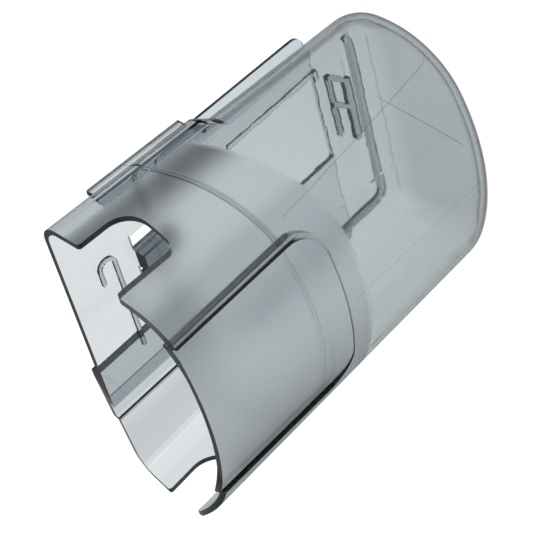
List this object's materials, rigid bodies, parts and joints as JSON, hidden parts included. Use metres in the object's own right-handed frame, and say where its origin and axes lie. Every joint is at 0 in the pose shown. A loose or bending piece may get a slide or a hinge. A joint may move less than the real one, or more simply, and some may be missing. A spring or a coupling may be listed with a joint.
{
  "type": "vacuum dust bin",
  "caption": "Clear smoke-grey dust bin of a stick vacuum, D-shaped in section, closed at the base and open at the mouth, with a set-in front panel and finger notches at the rim.",
  "frame": {"origin": "centre of the overall box, on the flat of the closed end", "axes": "+Z towards the mouth, +Y towards the front panel, X across the bin"},
  "size_m": [0.125, 0.0628, 0.1474],
  "materials": {
    "clear_smoke": "clear gloss, frosted towards the mouth"
  },
  "bodies": {
    "root": {"dust_bin": "clear_smoke"}
  },
  "joints": []
}
